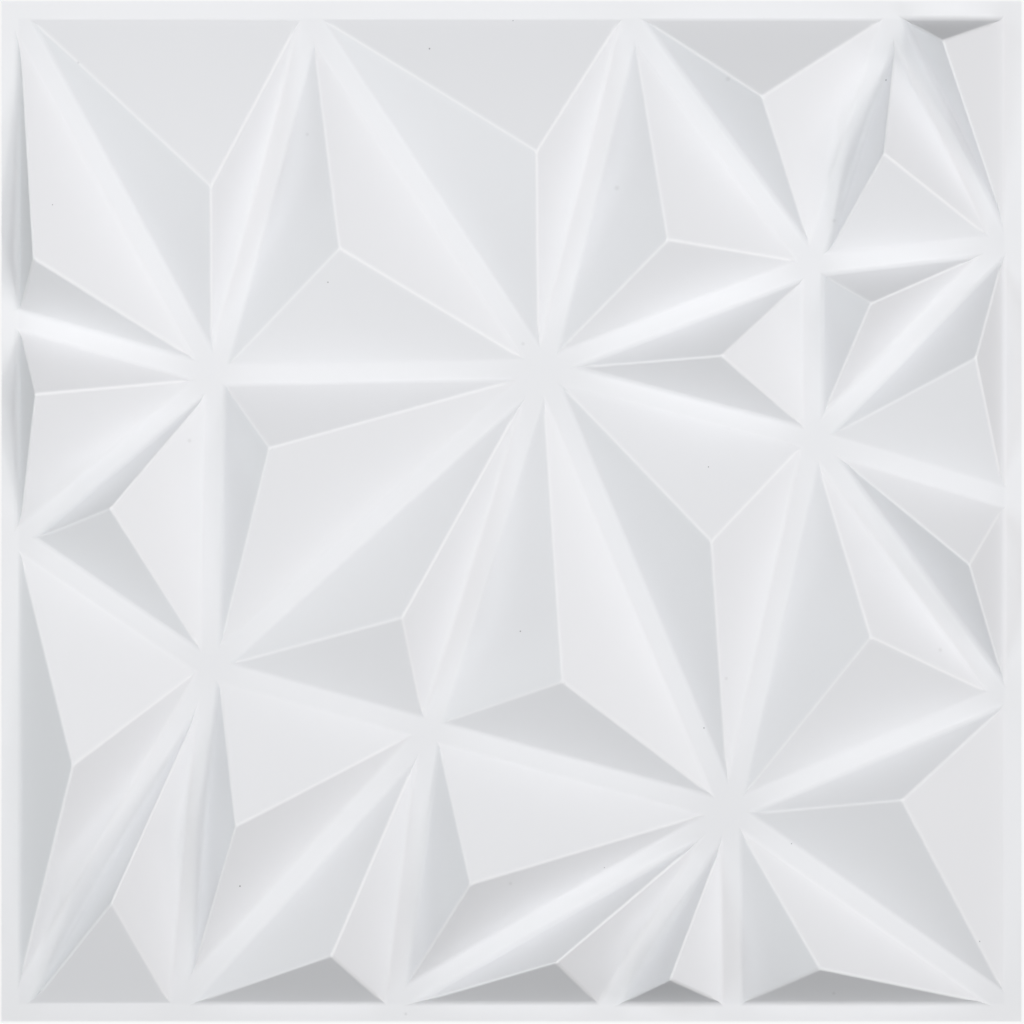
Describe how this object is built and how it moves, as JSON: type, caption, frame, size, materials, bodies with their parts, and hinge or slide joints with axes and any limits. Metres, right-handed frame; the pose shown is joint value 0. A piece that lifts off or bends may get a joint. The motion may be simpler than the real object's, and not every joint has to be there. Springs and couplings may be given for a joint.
{
  "type": "3d wall panel tile",
  "caption": "Square white plastic wall panel tile with a raised relief of irregular three-sided peaks between flat bands, glued to a wall as cladding.",
  "frame": {"origin": "middle of the flat back plane that is glued to the wall", "axes": "+Z is the outward face, +Y is the top of the tile as it hangs in the picture, +X is to the right"},
  "size_m": [0.5, 0.5, 0.026],
  "materials": {
    "white_plastic": "matte white rigid plastic sheet"
  },
  "bodies": {
    "root": {"wall_panel": "white_plastic"}
  },
  "joints": []
}
